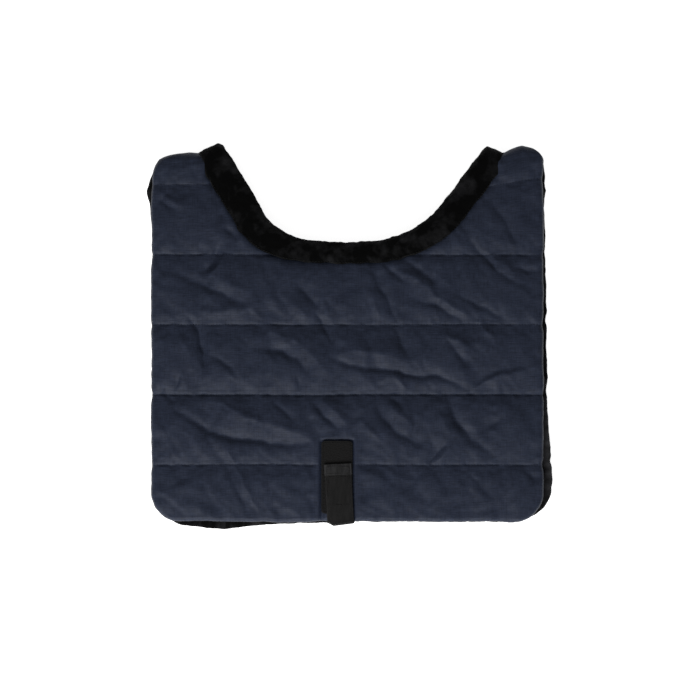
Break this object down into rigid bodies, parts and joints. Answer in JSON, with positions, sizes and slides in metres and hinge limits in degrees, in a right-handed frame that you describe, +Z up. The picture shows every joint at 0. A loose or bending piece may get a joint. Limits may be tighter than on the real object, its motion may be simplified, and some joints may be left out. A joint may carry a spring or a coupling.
{
  "type": "turnout rug chest bib",
  "caption": "Quilted plush-lined bib that pulls over a horse's head to stop a turnout rug rubbing at the neck and chest, with a hook-and-loop strap that holds it to the rug.",
  "frame": {"origin": "middle of the folded bib's outer box in X and Y, on the surface that it lies on", "axes": "+X across the bib, +Y from the hem to the shoulder fold and the neck opening, +Z up out of the front panel"},
  "size_m": [0.554, 0.5314, 0.0403],
  "materials": {
    "shell_fabric": "matt navy ripstop weave with a waterproof coating",
    "wadding": "white polyester wadding, sealed inside",
    "plush": "black long-pile plush",
    "shell_thread": "navy lockstitch thread",
    "dark_thread": "black lockstitch thread",
    "loop_tape": "black brushed loop tape",
    "hook_tape": "black hook tape",
    "webbing": "black flat-woven webbing"
  },
  "bodies": {
    "back_panel": {"back_shell": "shell_fabric", "back_wadding": "wadding", "back_lining": "plush", "back_neck_binding": "plush", "back_quilt_thread": "shell_thread", "back_binding_thread": "dark_thread", "left_binding_fold": "plush", "right_binding_fold": "plush", "left_shoulder_fold": "shell_fabric", "right_shoulder_fold": "shell_fabric"},
    "front_panel": {"front_shell": "shell_fabric", "front_wadding": "wadding", "front_lining": "plush", "front_neck_binding": "plush", "front_quilt_thread": "shell_thread", "front_binding_thread": "dark_thread", "loop_tape": "loop_tape", "loop_tape_thread": "dark_thread", "strap_anchor": "webbing", "strap_anchor_thread": "dark_thread"},
    "strap_turn": {"strap_turn": "webbing"},
    "closure_strap": {"strap_free": "webbing", "pull_tab": "webbing", "pull_tab_thread": "dark_thread", "hook_tape": "hook_tape", "hook_tape_thread": "dark_thread"}
  },
  "joints": [
    {"name": "shoulder_fold", "type": "hinge", "parent": "back_panel", "child": "front_panel", "pos_m": [0, 0.25775, 0.0165], "axis": [-1, 0, 0], "range_deg": [0, 178]},
    {"name": "strap_lift", "type": "hinge", "parent": "front_panel", "child": "strap_turn", "pos_m": [-0.014, -0.2648, 0.018], "axis": [1, 0, 0], "range_deg": [0, 90]},
    {"name": "strap_peel", "type": "hinge", "parent": "strap_turn", "child": "closure_strap", "pos_m": [-0.014, -0.2648, 0.0373], "axis": [1, 0, 0], "range_deg": [0, 90]}
  ],
  "couplings": [
    {"joint": "strap_peel", "follows": "strap_lift", "ratio": 1}
  ]
}
